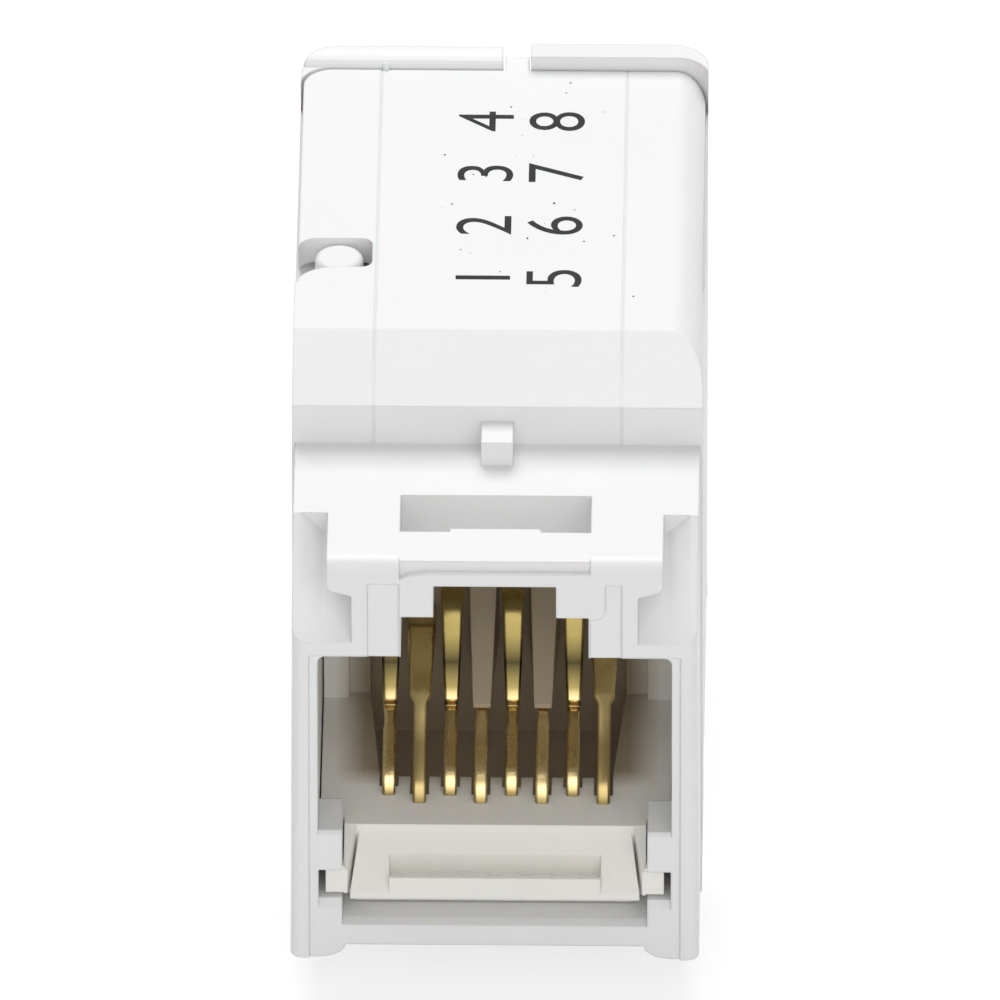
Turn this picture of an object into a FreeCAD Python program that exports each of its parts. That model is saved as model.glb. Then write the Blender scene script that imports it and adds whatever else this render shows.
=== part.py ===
import FreeCAD, Part
import math
import os

from FreeCAD import Vector

# Tool-less keystone jack.  Millimetres, X across, Y from the front face to the back, Z up.
# The jack is laid out with Y = 0 on its front face and Z = 0 on the surface it stands on;
# place() then moves every piece so that the origin is under the middle of the whole jack.
# Names that end in _level are heights above the underside of the nose.

# Nose, the part that passes through the panel
body_width = 13.6
nose_step = 0.1
nose_flare = 0.07
nose_height = 15.1
nose_depth = 7.3
nose_lift = 2.6
nose_edge_round = 0.45
shoulder_level = 12.0
relief_depth = 3.1
relief_drop = 0.7
relief_rim = 0.25
relief_bank = 0.75
column_width = 9.46
column_edge_round = 0.22
hood_width = 11.1
hood_thickness = 1.28
hood_undercut = 0.2
hood_round = 0.6
hood_corner = 0.15
foot_width = 1.83
foot_drop = 0.5
foot_flat = 0.9

# Plug port
port_width = 11.7
port_frame_width = 12.28
port_frame_depth = 0.08
port_frame_margin = 0.07
port_corner_round = 0.25
port_lip_bevel = 0.35
port_lip_drop = 0.1
port_floor_level = 0.87
port_ceiling_level = 11.4
keyway_width = 6.2
keyway_level = 13.03
latch_slot_width = 4.05
latch_slot_level = 14.25
latch_slot_depth = 4.2
bar_depth = 2.0
bar_window_width = 6.3
bar_recess = 0.22
bar_recess_level = 14.72
bar_recess_end_drop = 0.22
bar_recess_end = 0.9
bar_pad_width = 3.0
bar_pad_depth = 0.19
panel_recess_width = 1.05
panel_recess_depth = 0.12
panel_level = 14.31
tab_width = 0.5
tab_level = 12.95
tab_round = 0.35
nub_width = 1.06
nub_height = 0.9
nub_depth = 1.3

# Blocks beside the port floor, which hold the contact carrier's ears
block_width = 0.8
block_depth = 2.1
block_level = 4.45
block_window_bottom = 1.69
block_window_top = 2.94
block_bevel = 0.13
block_sill_bevel = 0.25
ear_reach = 0.55
ear_bottom = 1.82
ear_top = 2.9
ear_front = 0.38
ear_back = 1.75
ear_round = 0.1
arm_gap = 0.1
arm_level = 2.75

# Body behind the panel
stop_height = 1.47
ramp_length = 2.7
body_rise = 2.8
plate_inset = 0.1
plate_thickness = 0.95
plate_end = 25.85
plate_corner_round = 1.0
long_edge_round = 1.1
seam_offset = 4.1
seam_width = 0.06
seam_depth = 0.025
tongue_width = 0.8
tongue_offset = 0.42
tongue_reach = 0.85
tongue_gap = 0.05

# Flexible catch under the nose, moulded with the housing
catch_width = 5.4
catch_root = 2.3
catch_thickness = 0.75
catch_gap = 0.5
catch_hook_depth = 1.95
catch_panel_gap = 1.6
catch_pad_end = 10.7
catch_channel_clearance = 0.4

# Rear wings and their pivots
pivot_depth = 14.6
pivot_inset = 1.45
pin_radius = 0.6
pin_clearance = 0.06
pin_length = 0.55
head_radius = 0.8
head_sink = 0.15
head_round = 0.2
knuckle_slot_width = 2.45
knuckle_clearance = 0.06
knuckle_lip_round = 0.62
knuckle_mouth_width = 1.4
knuckle_mouth_flare = 0.93
knuckle_corner_round = 0.35
wing_gap = 0.2
wing_wall = 0.83
wing_reach = 11.32
wing_corner_round = 1.25
foot_clearance = 0.15
rim_height = 0.5
rim_slope_foot = 0.04
rim_slope_height = 0.36
split_gap = 0.12
cable_radius = 3.4
cable_level = 7.65
collar_wall = 0.8
collar_depth = 1.3
grip_rib = 0.35

# Contact carrier
fit_gap = 0.05
floor_level = 3.65
carrier_wall_front = 9.75
carrier_wall = 1.55
carrier_wall_recess = 0.85
pilaster_width = 0.84
pilaster_depth = 0.35
lead_front = 0.3
lead_width_front = 9.7
lead_width_back = 9.02
lead_bottom_level = 1.59
lead_edge_level = 1.9
lead_top_level = 3.38
lead_under_depth = 1.35
lead_nose = 0.1
pocket_width = 7.0
pocket_level = 2.09
pocket_back = 1.25
bar_level = 2.5
bar_thickness = 0.13
pocket_pad_width = 0.38
pocket_pad_depth = 0.12
pocket_pad_height = 0.05
comb_tip = 4.66
comb_notch_long = 3.6
comb_notch_short = 4.06
comb_clearance = 0.1
well_level = 1.6
well_width_front = 7.7
well_width_back = 8.5
rib_width_back = 1.0
rib_width_front = 0.58
rib_top_level = 7.9
rib_nose_level = 5.35
rib_nose = 6.45
rib_clearance = 0.12

# Spring contacts
contact_count = 8
contact_pitch = 1.016
contact_thickness = 0.28
contact_bar_width = 0.42
contact_pin_width = 0.5
contact_high_width = 0.78
contact_middle_width = 0.95
contact_clearance = 0.04
contact_tail = 0.3
knee_depth = 6.7
knee_level = 5.3
knee_round = 0.3
low_knee_step = 0.35
middle_knee_drop = 0.15
bend_depth = 8.9
bend_round = 0.5
tip_setback = 0.42
tip_level = 3.5
tip_drop = 0.75
tip_round = 0.15
high_level = 7.5
middle_level = 6.2
low_level = 4.95

# Circuit board and insulation displacement block
board_inset = 0.25
board_clearance = 0.1
board_thickness = 1.0
board_front = 11.6
block_end = 22.4
block_seat = 0.1
block_guide_gap = 0.4
block_pin_room = 0.4
divider_width = 1.1
divider_thickness = 0.8
divider_length = 3.6
divider_round = 0.39
blade_setback = 3.0
blade_thickness = 0.4
blade_height = 2.0
blade_entry = 0.8
blade_round = 0.3
blade_slot = 0.3
blade_mouth = 0.4
blade_slot_length = 1.5
blade_pitch = 4.2
leg_height = 0.8
leg_inset = 1.0

# Wire guides inside the wings
guide_thickness = 1.75
guide_front = 16.6
guide_end = 24.0
groove_radius = 0.75
guide_slot = 1.6
guide_slot_clearance = 0.35
guide_end_gap = 0.15

overrun = 1.0
arc_steps = 4


def level(height):
    """Height above the bench of something measured from the underside of the nose."""
    return nose_lift + height


nose_width = body_width - 2 * nose_step
plate_width = body_width - 2 * plate_inset
nose_top = level(nose_height)
top = level(nose_height + body_rise)
plate_under = top - plate_thickness
base_top = plate_thickness
pivot_x = body_width / 2 - pivot_inset
barrel_radius = pivot_inset
side_end = pivot_depth - barrel_radius - wing_gap
wing_inner = pivot_depth + wing_reach
overall_depth = wing_inner + wing_wall
board_back = board_front + board_thickness
wing_bottom = base_top + wing_gap
wing_top = plate_under - wing_gap
carrier_wall_back = carrier_wall_front + carrier_wall
recess_back = carrier_wall_front + carrier_wall_recess
block_inner = port_width / 2 - block_width
guide_outer = body_width / 2 - wing_wall
guide_inner = guide_outer - guide_thickness
block_spine_width = 2 * (guide_inner - divider_width - block_guide_gap)
blade_tip = guide_inner + blade_entry
blade_levels = [cable_level + (i - 1.5) * blade_pitch for i in range(4)]
board_width = port_width - 2 * board_inset
blade_depth = pivot_depth + blade_setback
os.makedirs("parts", exist_ok=True)


def box(x0, x1, y0, y1, z0, z1):
    return Part.makeBox(x1 - x0, y1 - y0, z1 - z0, Vector(x0, y0, z0))


def extruded(points, direction):
    return Part.Face(Part.makePolygon(points + [points[0]])).extrude(direction)


def across(points, x0, x1):
    """Solid with a side profile of (y, z) points, from x0 to x1."""
    return extruded([Vector(x0, y, z) for y, z in points], Vector(x1 - x0, 0, 0))


def along(points, y0, y1):
    """Solid with a front profile of (x, z) points, from y0 to y1."""
    return extruded([Vector(x, y0, z) for x, z in points], Vector(0, y1 - y0, 0))


def upright(points, z0, z1):
    """Solid with a plan of (x, y) points, from z0 to z1."""
    return extruded([Vector(x, y, z0) for x, y in points], Vector(0, 0, z1 - z0))


def post(x, y, radius, z0, z1):
    return Part.makeCylinder(radius, z1 - z0, Vector(x, y, z0))


def mirrored(shape):
    return shape.mirror(Vector(0, 0, 0), Vector(1, 0, 0))


def both_sides(shape):
    return [shape, mirrored(shape)]


def fused(shapes):
    return shapes[0].multiFuse(shapes[1:]).removeSplitter()


def edges_where(shape, test):
    found = []
    for edge in shape.Edges:
        middle = edge.valueAt((edge.FirstParameter + edge.LastParameter) / 2)
        ends = [v.Point for v in edge.Vertexes]
        run = ends[-1] - ends[0]
        if run.Length > 0 and test(middle, run.normalize()):
            found.append(edge)
    return found


def rounded_plan(half_width, y0, y1, radius, z0, z1):
    """Plate from y0 to y1 whose two rear corners are rounded."""
    plate = box(-half_width, half_width, y0, y1, z0, z1)
    corners = edges_where(plate, lambda p, d: abs(d.z) > 0.9 and p.y > y1 - 0.01)
    return plate.makeFillet(radius, corners)


def place(shape):
    moved = shape.copy()
    moved.translate(Vector(0, -overall_depth / 2, 0))
    return moved


def save(shape, name):
    place(shape).exportStep("parts/" + name + ".step")


# Housing

def nose_side():
    """Right half of the nose's outline, from the rail under its lower edge up to its top."""
    half = nose_width / 2
    outer = half + nose_flare
    base = level(0)
    inner = outer - foot_width
    run = foot_width - foot_flat
    rail = [(inner + run * (1 - math.cos(a)), base - foot_drop * math.sin(a))
            for a in [math.radians(angle) for angle in (0, 18, 36, 54, 72)]]
    low = base - foot_drop
    return rail + [(outer - foot_flat, low), (outer, low), (half, level(shoulder_level)),
                   (half, nose_top)]


def nose_shell():
    half = nose_width / 2
    side = nose_side()
    shell = along(side + [(-x, z) for x, z in reversed(side)], 0, nose_depth + overrun)
    front = edges_where(shell, lambda p, d: abs(d.z) > 0.9 and p.y < 0.01 and abs(p.x) > half - 0.01)
    shell = shell.makeFillet(nose_edge_round, front)
    corner = across(
        [(-overrun, level(shoulder_level)), (0, level(shoulder_level)), (relief_depth, nose_top),
         (relief_depth, nose_top + overrun), (-overrun, nose_top + overrun)],
        column_width / 2, half + overrun)
    for side in both_sides(corner) + both_sides(relief_trough()):
        shell = shell.cut(side)
    hood_seat = box(-column_width / 2, column_width / 2, -overrun, hood_round, nose_top - hood_round,
                    nose_top + overrun)
    return shell.cut(hood_seat)


def relief_trough():
    """Sunken slope beside the column, with a rim along the nose's outer edge."""
    inner = column_width / 2
    rim = nose_width / 2 - relief_rim
    floor_edge = rim - relief_bank
    shoulder = level(shoulder_level)
    slope_rise = nose_top - shoulder
    low = shoulder - 0.01
    high = nose_top - relief_drop
    front_wire = [(inner, low), (floor_edge, low), (rim, low), (rim, shoulder + slope_rise),
                  (inner, shoulder + slope_rise)]
    back_wire = [(inner, high), (floor_edge, high), (rim, nose_top),
                 (rim, nose_top + slope_rise), (inner, nose_top + slope_rise)]
    wires = []
    for points, y in ((front_wire, 0.0), (back_wire, relief_depth)):
        corners = [Vector(x, y, z) for x, z in points]
        wires.append(Part.makePolygon(corners + [corners[0]]))
    return Part.makeLoft(wires, True, True)


def hood():
    """Bar over the port, wider than the column below it and rounded at its front."""
    half = hood_width / 2
    column = column_width / 2
    low = nose_top - hood_thickness
    section = [(-half, low + hood_undercut + hood_corner), (-half + hood_corner, low + hood_undercut),
               (-column, low), (column, low), (half - hood_corner, low + hood_undercut),
               (half, low + hood_undercut + hood_corner), (half, nose_top), (-half, nose_top)]
    bar = along(section, 0, relief_depth + 0.5)
    front = edges_where(bar, lambda p, d: abs(d.x) > 0.9 and p.y < 0.01 and p.z > nose_top - 0.01)
    bar = bar.makeFillet(hood_round, front)
    centre = box(-bar_window_width / 2, bar_window_width / 2, 0, relief_depth, low, nose_top)
    return fused([bar, centre])


def column():
    half = column_width / 2
    post_block = box(-half, half, 0, relief_depth, level(shoulder_level) - overrun,
                     nose_top - hood_thickness)
    front = edges_where(post_block, lambda p, d: abs(d.z) > 0.9 and p.y < 0.01)
    return post_block.makeFillet(column_edge_round, front)


def port_cavity():
    """Stepped opening for the plug, its keyway and its latch, in a slightly sunken frame."""
    half = port_width / 2
    low = level(port_floor_level)
    cavity = box(-half, half, -overrun, board_front, low, level(port_ceiling_level))
    upper = edges_where(cavity, lambda p, d: abs(d.y) > 0.9 and p.z > low + overrun)
    cavity = cavity.makeFillet(port_corner_round, upper)
    key = box(-keyway_width / 2, keyway_width / 2, -overrun, board_front,
              level(port_ceiling_level) - overrun, level(keyway_level))
    latch = box(-latch_slot_width / 2, latch_slot_width / 2, -overrun, latch_slot_depth,
                level(keyway_level) - overrun, level(latch_slot_level))
    frame = box(-port_frame_width / 2, port_frame_width / 2, -overrun, port_frame_depth,
                -overrun, level(port_ceiling_level) + port_frame_margin)
    lip = across([(-overrun, low), (-overrun, low - port_lip_drop),
                  (port_frame_depth, low - port_lip_drop), (port_frame_depth + port_lip_bevel, low),
                  (port_frame_depth + port_lip_bevel, low + overrun), (-overrun, low + overrun)],
                 -block_inner, block_inner)
    return fused([cavity, key, latch, frame, lip])


def panel_recess():
    """Shallow recess beside the keyway, on the right-hand side."""
    half_window = bar_window_width / 2
    outer = half_window + panel_recess_width
    return box(half_window, outer, -overrun, panel_recess_depth, level(port_ceiling_level) - 0.01,
               level(panel_level))


def panel_tab():
    """Tab with a rounded lower corner that stands in the right-hand recess."""
    half_window = bar_window_width / 2
    tab = box(half_window - overrun, half_window + tab_width, -overrun, panel_recess_depth,
              level(tab_level), level(panel_level))
    corner = edges_where(tab, lambda p, d: abs(d.y) > 0.9 and p.x > half_window
                         and p.z < level(tab_level) + 0.01)
    return tab.makeFillet(tab_round, corner)


def front_details():
    """Window in the nose's top, the stepped bar over the port and the column's recesses."""
    half = bar_window_width / 2
    tools = [box(-half, half, bar_depth, latch_slot_depth, level(keyway_level) - 0.01,
                 nose_top + overrun)]
    ledge = level(bar_recess_level)
    shelf = along([(-half, ledge - bar_recess_end_drop), (-half + bar_recess_end / 3,
                   ledge - bar_recess_end_drop / 3), (-half + bar_recess_end, ledge), (half, ledge),
                   (half, nose_top + overrun), (-half, nose_top + overrun)], -overrun, bar_recess)
    return tools + [shelf, mirrored(panel_recess()), panel_recess().cut(panel_tab())]


def bar_pad():
    """Middle of the bar, which reaches a little further back over the window."""
    return box(-bar_pad_width / 2, bar_pad_width / 2, bar_depth - overrun, bar_depth + bar_pad_depth,
               level(latch_slot_level), nose_top)


def blocks():
    low = level(0)
    high = level(block_level)
    sill = level(block_window_bottom)
    front = port_frame_depth
    profile = [(front, low), (block_depth, low), (block_depth, high), (front + block_bevel, high),
               (front, high - block_bevel)]
    solid = across(profile, block_inner, port_width / 2 + 0.2)
    window = across([(-overrun, sill - block_sill_bevel), (front, sill - block_sill_bevel),
                     (front + block_sill_bevel, sill), (block_depth + overrun, sill),
                     (block_depth + overrun, level(block_window_top)),
                     (-overrun, level(block_window_top))],
                    block_inner - overrun, port_width / 2 - 0.02)
    return both_sides(solid.cut(window))


def body_shell():
    """Body behind the panel: stop faces, sloped shoulder and the two long plates."""
    half = body_width / 2
    stop_top = nose_top + stop_height
    profile = [(nose_depth, 0), (side_end, 0), (side_end, top), (nose_depth + ramp_length, top),
               (nose_depth, stop_top)]
    front = across(profile, -half, half)
    upper = rounded_plan(plate_width / 2, side_end - overrun, plate_end, plate_corner_round,
                         plate_under, top)
    lower = rounded_plan(plate_width / 2, side_end - overrun, plate_end, plate_corner_round,
                         0, base_top)
    shell = fused([front, upper, lower])
    right_edge = across([(nose_depth - overrun, nose_top), (plate_end + overrun, nose_top),
                         (plate_end + overrun, top + overrun), (nose_depth - overrun, top + overrun)],
                        half - long_edge_round, half + overrun)
    radius = long_edge_round
    keep_bar = Part.makeCylinder(radius, plate_end, Vector(half - radius, nose_depth - overrun,
                                                           top - radius), Vector(0, 1, 0))
    right_edge = right_edge.cut(keep_bar)
    below = box(half - radius - 0.01, half + 2 * overrun, nose_depth - 2 * overrun,
                plate_end + 2 * overrun, 0, top - radius)
    return shell.cut(right_edge.cut(below))


def knuckle_slot():
    """Slot in the left edge of the top plate, which the head of the upper pin snaps into."""
    edge = -plate_width / 2
    inner = edge + knuckle_slot_width
    reach = head_radius + knuckle_clearance
    front = pivot_depth - reach
    back = pivot_depth + reach
    steps = [math.radians(angle) for angle in (0, 15, 30, 45, 60, 75, 90)]
    lip = [(edge + knuckle_lip_round * (1 - math.sin(a)), back - knuckle_lip_round * (1 - math.cos(a)))
           for a in steps]
    mouth = [(edge + knuckle_mouth_width * (1 - math.sin(a)),
              front - knuckle_mouth_flare * (1 - math.cos(a))) for a in steps]
    outside = -body_width / 2 - overrun
    plan = [(inner, front), (inner, back)] + lip + [(outside, lip[-1][1]), (outside, mouth[-1][1])]
    slot = upright(plan + mouth[::-1], plate_under - overrun, top + overrun)
    corners = edges_where(slot, lambda p, d: abs(d.z) > 0.9 and p.x > inner - 0.01)
    return slot.makeFillet(knuckle_corner_round, corners)


def pivot_holes():
    """Blind holes for the wings' plain pins."""
    radius = pin_radius + pin_clearance
    depth = pin_length + wing_gap / 2
    holes = [post(x, pivot_depth, radius, base_top - depth, base_top + overrun)
             for x in (-pivot_x, pivot_x)]
    return holes + [post(pivot_x, pivot_depth, radius, plate_under - overrun, plate_under + depth)]


def catch():
    """Cantilever with a hook for the lower edge of the panel and a pad to release it."""
    roof = level(0)
    face = nose_depth - catch_panel_gap
    under = roof - catch_gap - catch_thickness
    tip = roof - catch_hook_depth
    pad_low = tip + 0.05
    profile = [(catch_root, roof + 0.2), (catch_root + 0.3, under + 0.3), (face - 1.3, under),
               (face - 0.3, tip), (face, tip), (face, under),
               (catch_pad_end - 2.2, under - 0.05), (catch_pad_end - 0.7, pad_low),
               (catch_pad_end, pad_low), (catch_pad_end, pad_low + catch_thickness),
               (catch_pad_end - 2.1, roof - catch_gap), (catch_root + 1.5, roof - catch_gap),
               (catch_root + 1.3, roof + 0.2)]
    return across(profile, -catch_width / 2, catch_width / 2)


def seams():
    """Fine parting grooves along the top, the slope and the upper stop face."""
    tools = []
    for x in (-seam_offset, seam_offset):
        path = [(nose_depth + seam_depth, nose_top), (nose_depth + seam_depth, nose_top + stop_height),
                (nose_depth + ramp_length, top - seam_depth), (plate_end + overrun, top - seam_depth),
                (plate_end + overrun, top + overrun), (nose_depth - overrun, top + overrun),
                (nose_depth - overrun, nose_top)]
        tools.append(across(path, x - seam_width / 2, x + seam_width / 2))
    return tools


def main_housing():
    body = fused([nose_shell(), hood(), column(), body_shell()])
    chamber_half = board_width / 2 + board_clearance
    chamber = box(-chamber_half, chamber_half, board_front - fit_gap, side_end + overrun, base_top,
                  plate_under)
    channel_half = catch_width / 2 + catch_channel_clearance
    channel = box(-channel_half, channel_half, nose_depth - overrun,
                  catch_pad_end + catch_channel_clearance, -overrun, level(0))
    for tool in [port_cavity(), chamber, channel, knuckle_slot()] + pivot_holes():
        body = body.cut(tool)
    for tool in front_details() + seams():
        body = body.cut(tool)
    nub = box(-nub_width / 2, nub_width / 2, nose_depth - nub_depth, nose_depth + overrun,
              nose_top - 0.3, nose_top + nub_height)
    tongue_left = tongue_offset - tongue_width / 2
    tongue = box(tongue_left, tongue_left + tongue_width, plate_end - overrun,
                 plate_end + tongue_reach, plate_under, top)
    return fused([body, nub, tongue, bar_pad(), catch()] + blocks())


# Contact carrier and contacts

def contact_x(number):
    return (number - (contact_count + 1) / 2) * contact_pitch


def contact_height(number):
    """Height at which a contact enters the carrier's rear wall."""
    if number in (4, 6):
        return low_level
    if number in (2, 8):
        return middle_level
    return high_level


def notch_front(number):
    return comb_notch_short if number % 2 else comb_notch_long


def rounded_path(points, radii):
    """The same path with each inner corner replaced by a short arc of the given radius."""
    path = [points[0]]
    for i, radius in enumerate(radii):
        corner = Vector(*points[i + 1], 0)
        back = (Vector(*points[i], 0) - corner).normalize()
        ahead = (Vector(*points[i + 2], 0) - corner).normalize()
        half_angle = back.getAngle(ahead) / 2
        centre = corner + (back + ahead).normalize() * (radius / math.sin(half_angle))
        start = corner + back * (radius / math.tan(half_angle)) - centre
        end = corner + ahead * (radius / math.tan(half_angle)) - centre
        for step in range(arc_steps + 1):
            part = step / arc_steps
            spoke = (start * (1 - part) + end * part).normalize() * radius
            path.append((centre.x + spoke.x, centre.y + spoke.y))
    return path + [points[-1]]


def ribbon(points, thickness):
    """Side outline of a bent strip whose middle line passes through the points."""
    left = []
    right = []
    for i, (y, z) in enumerate(points):
        before = points[max(i - 1, 0)]
        after = points[min(i + 1, len(points) - 1)]
        a = Vector(y - before[0], z - before[1], 0)
        b = Vector(after[0] - y, after[1] - z, 0)
        a = a.normalize() if a.Length > 0 else b.normalize()
        b = b.normalize() if b.Length > 0 else a
        normal = Vector(-(a.y + b.y), a.x + b.x, 0).normalize()
        reach = thickness / 2 / normal.dot(Vector(-a.y, a.x, 0))
        left.append((y + normal.x * reach, z + normal.y * reach))
        right.append((y - normal.x * reach, z - normal.y * reach))
    return left + right[::-1]


def contact_path(number):
    """Middle line of a contact, from its free tip up to its leg behind the circuit board."""
    rear = contact_height(number)
    tip = notch_front(number) + tip_setback
    tip_points = [(tip, level(tip_level - tip_drop)), (tip, level(tip_level))]
    leg_end = (board_back + contact_tail, level(rear))
    if rear == low_level:
        knee = (knee_depth - low_knee_step, level(rear))
        return rounded_path(tip_points + [knee, leg_end], [tip_round, knee_round])
    drop = middle_knee_drop if rear == middle_level else 0
    knee = (knee_depth, level(knee_level - drop))
    bend = (bend_depth, level(rear))
    return rounded_path(tip_points + [knee, bend, leg_end], [tip_round, knee_round, bend_round])


def contact(number):
    """Spring strip, narrow where the plug touches it and wider above its knee."""
    x = contact_x(number)
    widths = {high_level: contact_high_width, middle_level: contact_middle_width,
              low_level: contact_pin_width}
    strip = across(ribbon(contact_path(number), contact_thickness), x - contact_pitch, x + contact_pitch)
    bar = contact_bar_width / 2
    wide = widths[contact_height(number)] / 2
    pin = contact_pin_width / 2
    shoulder = recess_back - contact_clearance
    stations = [(0, bar), (knee_depth, bar), (bend_depth, wide), (shoulder, wide), (shoulder, pin),
                (board_back + overrun, pin)]
    outline = [(x - w, y) for y, w in stations] + [(x + w, y) for y, w in reversed(stations)]
    return strip.common(upright(outline, 0, top))


def lead_pocket():
    """Pocket in the lead behind its thin front bar, with a row of pads along its rear wall."""
    half = pocket_width / 2
    pocket = box(-half, half, lead_front + bar_thickness, pocket_back, level(pocket_level), top)
    for number in range(1, contact_count):
        x = contact_x(number) + contact_pitch / 2
        pocket = pocket.cut(box(x - pocket_pad_width / 2, x + pocket_pad_width / 2,
                                pocket_back - pocket_pad_depth, pocket_back + overrun, 0,
                                level(pocket_level + pocket_pad_height)))
    return pocket


def carrier_lead():
    """Sloped lip that guides the plug over the carrier's front."""
    low = level(port_floor_level + fit_gap)
    bottom = level(lead_bottom_level)
    floor_top = level(floor_level)
    ramp_back = lead_front + lead_top_level - lead_edge_level
    joint = block_depth + 2 * fit_gap
    side = [(lead_under_depth, low), (lead_under_depth, bottom), (lead_front + lead_nose, bottom),
            (lead_front, bottom + lead_nose), (lead_front, level(lead_edge_level)),
            (ramp_back, level(lead_top_level)), (ramp_back, floor_top), (joint, floor_top), (joint, low)]
    lip = across(side, -port_width / 2, port_width / 2)
    front = lead_width_front / 2
    back = lead_width_back / 2
    neck = block_inner - fit_gap
    plan = upright([(-front, 0), (front, 0), (back, ramp_back), (neck, ramp_back), (neck, joint),
                    (-neck, joint), (-neck, ramp_back), (-back, ramp_back)], 0, top)
    lip = lip.common(plan)
    half = pocket_width / 2
    bar = box(-half, half, lead_front, lead_front + bar_thickness, bottom + lead_nose, level(bar_level))
    return fused([lip, bar]).cut(lead_pocket())


def carrier_ears():
    """Side plates that reach into the blocks' windows, each on a thin arm beside the lead."""
    ramp_back = lead_front + lead_top_level - lead_edge_level
    root = ramp_back + fit_gap
    neck = block_inner - fit_gap
    low = level(ear_bottom)
    plate = box(neck - fit_gap, block_inner + ear_reach, ear_front, ear_back, low, level(ear_top))
    lower = edges_where(plate, lambda p, d: abs(d.x) > 0.9 and p.y < ear_front + 0.01
                        and p.z < low + 0.01)
    plate = plate.makeFillet(ear_round, lower)
    arm = across([(ear_front, low), (ear_front, level(arm_level)), (root, level(floor_level)), (root, low)],
                 0, neck)
    taper = (lead_width_front - lead_width_back) / 2 / ramp_back
    inner_front = lead_width_front / 2 - taper * ear_front + arm_gap
    inner_back = lead_width_back / 2 + arm_gap
    plan = upright([(inner_front, ear_front), (neck, ear_front), (neck, root), (inner_back, root),
                    (inner_back, ramp_back)], 0, top)
    return both_sides(fused([plate, arm.common(plan)]))


def carrier_wall_solid():
    """Rear wall of the port, stepped like the port, with a pilaster at each side."""
    half = port_width / 2 - fit_gap
    low = level(port_floor_level) + fit_gap
    step = level(port_ceiling_level) - fit_gap
    key = keyway_width / 2 - fit_gap
    section = [(-half, low), (half, low), (half, step), (key, step),
               (key, level(keyway_level) - fit_gap), (-key, level(keyway_level) - fit_gap),
               (-key, step), (-half, step)]
    wall = along(section, carrier_wall_front, carrier_wall_back)
    pilaster = box(half - pilaster_width, half, carrier_wall_front - pilaster_depth,
                   carrier_wall_front + pilaster_depth, low, step)
    wall = fused([wall] + both_sides(pilaster))
    corners = edges_where(wall, lambda p, d: abs(d.y) > 0.9 and abs(p.x) > half - 0.01
                          and p.z > step - 0.01)
    return wall.makeFillet(port_corner_round, corners)


def carrier_ribs():
    """Two fins that stand over the lowest contacts and widen towards the rear wall."""
    ribs = []
    root = recess_back + fit_gap
    roof = level(low_level) + contact_thickness / 2 + rib_clearance
    crest = level(rib_top_level)
    front = rib_width_front / 2
    back = rib_width_back / 2
    profile = [(rib_nose, roof), (root, roof), (root, crest), (carrier_wall_front, crest),
               (rib_nose, max(level(rib_nose_level), roof + contact_clearance))]
    for number in (4, 6):
        x = contact_x(number)
        plan = upright([(x - front, rib_nose), (x + front, rib_nose), (x + back, root),
                        (x - back, root)], 0, top)
        ribs.append(across(profile, x - contact_pitch, x + contact_pitch).common(plan))
    return ribs


def contact_well():
    """Room under the contacts: a tapered well in the floor and a recess in the rear wall."""
    front = well_width_front / 2
    back = well_width_back / 2
    well = upright([(-front, comb_tip), (front, comb_tip), (back, carrier_wall_front),
                    (back, recess_back), (-back, recess_back), (-back, carrier_wall_front)],
                   level(well_level), level(rib_top_level))
    tools = [well]
    for number in range(1, contact_count + 1):
        x = contact_x(number)
        reach = contact_bar_width / 2 + comb_clearance
        tools.append(box(x - reach, x + reach, notch_front(number), comb_tip + overrun,
                         level(well_level), top))
    return tools


def contact_passage(number):
    """Slot in the rear wall for a contact's leg."""
    x = contact_x(number)
    middle = level(contact_height(number))
    wide = contact_pin_width / 2 + contact_clearance
    tall = contact_thickness / 2 + contact_clearance
    return box(x - wide, x + wide, carrier_wall_front, carrier_wall_back + overrun, middle - tall,
               middle + tall)


def contact_carrier():
    half = port_width / 2 - fit_gap
    low = level(port_floor_level) + fit_gap
    carrier = fused([box(-half, half, block_depth + fit_gap, carrier_wall_back - fit_gap, low,
                         level(floor_level)), carrier_wall_solid()])
    for tool in contact_well():
        carrier = carrier.cut(tool)
    carrier = fused([carrier, carrier_lead()] + carrier_ears() + carrier_ribs())
    for number in range(1, contact_count + 1):
        carrier = carrier.cut(contact_passage(number))
    return carrier


# Circuit board, insulation displacement block and its blades

def board_outline_holes():
    holes = []
    for number in range(1, contact_count + 1):
        x = contact_x(number)
        z = level(contact_height(number))
        wide = contact_pin_width / 2 + contact_clearance
        tall = contact_thickness / 2 + contact_clearance
        holes.append(box(x - wide, x + wide, board_front - 1, board_back + 1, z - tall, z + tall))
    for side in (-1, 1):
        for height in blade_levels:
            x = side * (block_spine_width / 2 - leg_inset)
            wide = blade_thickness / 2 + contact_clearance
            tall = leg_height / 2 + contact_clearance
            holes.append(box(x - wide, x + wide, board_front - 1, board_back + 1,
                             level(height) - tall, level(height) + tall))
    return holes


def circuit_board():
    half = board_width / 2
    board = box(-half, half, board_front, board_back, base_top + fit_gap, plate_under - fit_gap)
    for hole in board_outline_holes():
        board = board.cut(hole)
    return board


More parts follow.
